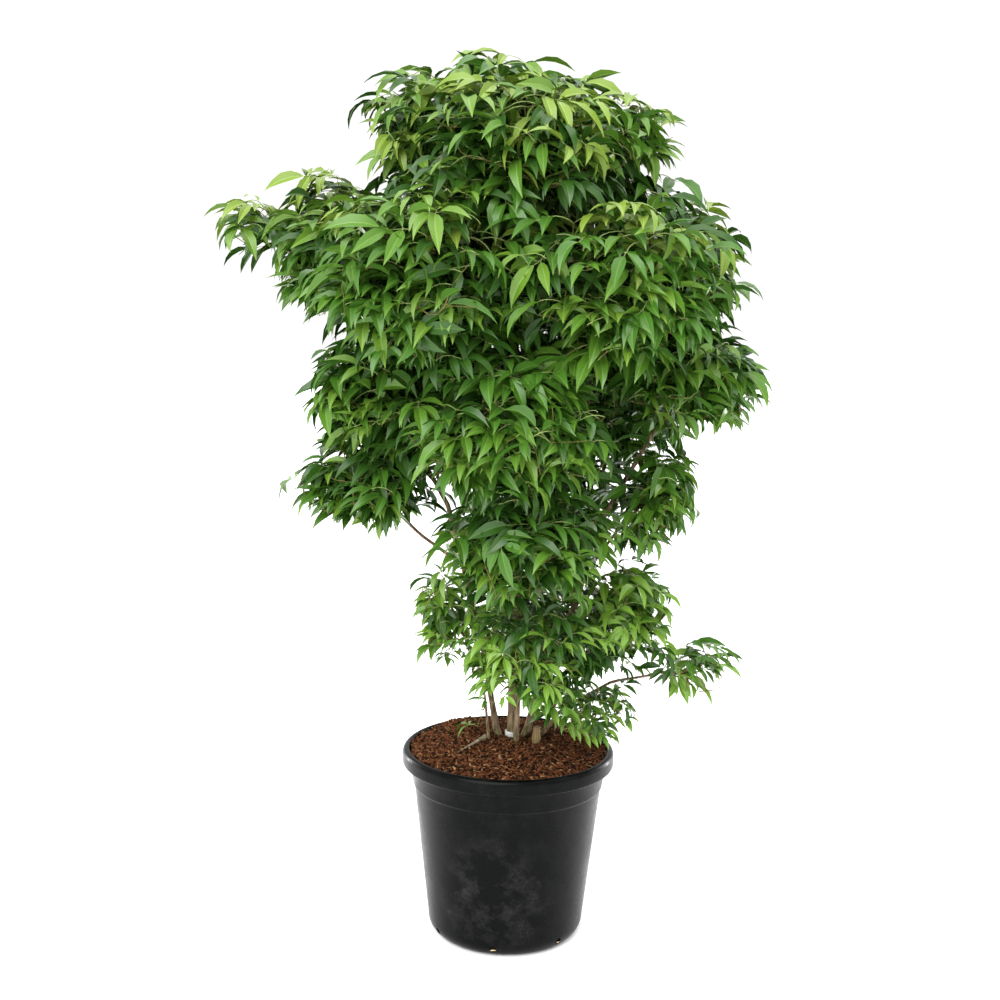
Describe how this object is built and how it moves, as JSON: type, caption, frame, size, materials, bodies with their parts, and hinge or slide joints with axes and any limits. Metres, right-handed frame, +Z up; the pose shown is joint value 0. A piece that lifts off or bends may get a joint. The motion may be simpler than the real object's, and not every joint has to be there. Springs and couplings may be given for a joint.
{
  "type": "potted colchis bladdernut",
  "caption": "Tall multi-stemmed shrub with a broad, drooping crown of pinnate leaves, growing in a round tapered black nursery pot topped with bark mulch.",
  "frame": {"origin": "centre of the pot's flat underside, on the surface it stands on", "axes": "+Z up along the pot's axis, +X to the right as pictured, -Y towards the viewer of the front"},
  "size_m": [1.2733, 1.1458, 2.0367],
  "materials": {
    "pot_plastic": "satin",
    "mulch": "matte",
    "bark": "matte",
    "dead_wood": "matte",
    "tie_plastic": "satin",
    "foliage": "satin"
  },
  "bodies": {
    "root": {"Bough_Base_Back": "bark", "Bough_Base_Front": "bark", "Bough_Base_Right": "bark", "Bough_Lower_Back": "bark", "Bough_Lower_Front": "bark", "Bough_Lower_Left": "bark", "Bough_Lower_Right": "bark", "Bough_Middle_Back_Left": "bark", "Bough_Middle_Back_Right": "bark", "Bough_Middle_Front": "bark", "Bough_Top_Back": "bark", "Bough_Top_Front": "bark", "Bough_Top_Left": "bark", "Bough_Top_Right": "bark", "Bough_Upper_Back_Right": "bark", "Bough_Upper_Front_Right": "bark", "Bough_Upper_Left": "bark", "Bough_Upper_Right": "bark", "Cut_Stub": "dead_wood", "Dead_Spur": "dead_wood", "Foliage_Base_Back": "foliage", "Foliage_Base_Front": "foliage", "Foliage_Base_Left": "foliage", "Foliage_Base_Right": "foliage", "Foliage_Foot_Left": "foliage", "Foliage_Foot_Right": "foliage", "Foliage_Left_Tip": "foliage", "Foliage_Low_Right_Tip": "foliage", "Foliage_Lower_Back": "foliage", "Foliage_Lower_Front": "foliage", "Foliage_Lower_Left": "foliage", "Foliage_Lower_Right": "foliage", "Foliage_Middle_Back_Left": "foliage", "Foliage_Middle_Back_Right": "foliage", "Foliage_Middle_Front": "foliage", "Foliage_Middle_Left": "foliage", "Foliage_Middle_Right": "foliage", "Foliage_Top_Back": "foliage", "Foliage_Top_Centre": "foliage", "Foliage_Top_Front": "foliage", "Foliage_Top_Left": "foliage", "Foliage_Top_Right": "foliage", "Foliage_Upper_Back_Left": "foliage", "Foliage_Upper_Back_Right": "foliage", "Foliage_Upper_Front_Left": "foliage", "Foliage_Upper_Front_Right": "foliage", "Foliage_Upper_Left": "foliage", "Foliage_Upper_Right": "foliage", "Mulch": "mulch", "Pot": "pot_plastic", "Stem_Back": "bark", "Stem_Front": "bark", "Stem_Left": "bark", "Stem_Low_Right": "bark", "Stem_Main": "bark", "Stem_Right": "bark", "Stem_Thin_Left": "bark", "Stem_Tie": "tie_plastic"}
  },
  "joints": []
}
